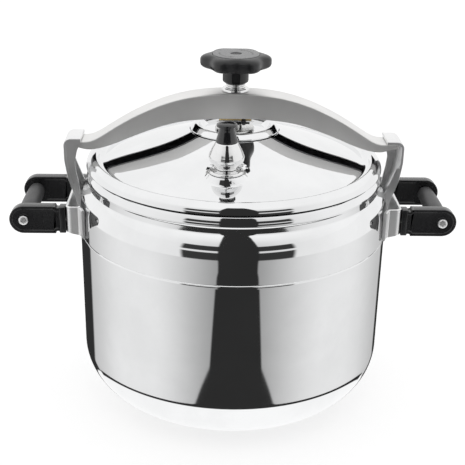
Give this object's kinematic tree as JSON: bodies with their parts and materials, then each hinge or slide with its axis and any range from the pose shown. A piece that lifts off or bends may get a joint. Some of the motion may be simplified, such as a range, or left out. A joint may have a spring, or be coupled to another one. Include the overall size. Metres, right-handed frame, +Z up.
{
  "type": "pressure canner",
  "caption": "Tall polished pressure canner with a domed lid held by a swinging bow and clamp screw, side hooks, weighted valve and two side handles.",
  "frame": {"origin": "middle of the pot's flat bottom, on the surface it stands on", "axes": "+Z up, X left to right along the bow, -Y is the front where the working valve is"},
  "size_m": [0.395, 0.28, 0.3142],
  "materials": {
    "polished_pot": "mirror polished stainless steel",
    "polished_lid": "mirror polished stainless steel",
    "polished_hooks": "polished pressed steel, slightly satin",
    "polished_fittings": "bright chrome",
    "satin_bow": "satin polished steel",
    "satin_steel": "satin",
    "rack_sheet": "plain sheet",
    "gasket_rubber": "matt black",
    "brass_parts": "turned",
    "dark_screw": "black oxide",
    "black_moulding": "moulded bakelite, semi gloss",
    "black_grip": "moulded bakelite, matt",
    "grey_cap": "satin grey disc"
  },
  "bodies": {
    "pot": {"pot_body": "polished_pot", "lid": "polished_lid", "lid_centre_dish": "polished_lid", "canning_rack": "rack_sheet", "lid_gasket": "gasket_rubber", "vent_base_nut": "polished_fittings", "vent_pipe": "brass_parts", "vent_inner_nut": "brass_parts", "safety_valve_body": "polished_fittings", "safety_valve_nut": "brass_parts", "hook_left": "polished_hooks", "hook_right": "polished_hooks", "bracket_left": "polished_hooks", "bracket_right": "polished_hooks", "arm_left_front": "black_moulding", "grip_screw_left_front": "polished_fittings", "arm_screw_left_front": "satin_steel", "arm_left_rear": "black_moulding", "grip_screw_left_rear": "polished_fittings", "arm_screw_left_rear": "satin_steel", "grip_left": "black_grip", "arm_right_front": "black_moulding", "grip_screw_right_front": "polished_fittings", "arm_screw_right_front": "satin_steel", "arm_right_rear": "black_moulding", "grip_screw_right_rear": "polished_fittings", "arm_screw_right_rear": "satin_steel", "grip_right": "black_grip"},
    "bow": {"bow": "satin_bow", "bow_saddle": "polished_fittings", "screw_nut": "brass_parts", "saddle_lock_screw": "dark_screw", "bow_bush": "polished_fittings"},
    "foot": {"pressure_foot": "satin_steel", "foot_clip": "brass_parts"},
    "screw": {"clamp_screw": "polished_fittings", "knob": "black_moulding", "knob_cap": "grey_cap", "knob_nut": "satin_steel"},
    "weight": {"weight_body": "polished_fittings", "weight_neck": "black_moulding", "weight_cap": "black_moulding"},
    "relief_pin": {"safety_valve_pin": "dark_screw"}
  },
  "joints": [
    {"name": "bow_swing", "type": "hinge", "parent": "pot", "child": "bow", "pos_m": [0, 0, 0.27], "axis": [0, 0, 1], "range_deg": [-65, 0]},
    {"name": "foot_travel", "type": "slide", "parent": "bow", "child": "foot", "axis": [0, 0, 1], "range_m": [0, 0.004]},
    {"name": "knob_turn", "type": "hinge", "parent": "foot", "child": "screw", "pos_m": [0, 0, 0.27], "axis": [0, 0, 1], "range_deg": [0, 360]},
    {"name": "weight_lift", "type": "slide", "parent": "pot", "child": "weight", "axis": [0, 0, 1], "range_m": [0, 0.012]},
    {"name": "relief_pin_lift", "type": "slide", "parent": "pot", "child": "relief_pin", "axis": [0, 0, 1], "range_m": [0, 0.0025]}
  ],
  "couplings": [
    {"joint": "knob_turn", "follows": "foot_travel", "rad_per_m": 1570.8}
  ]
}
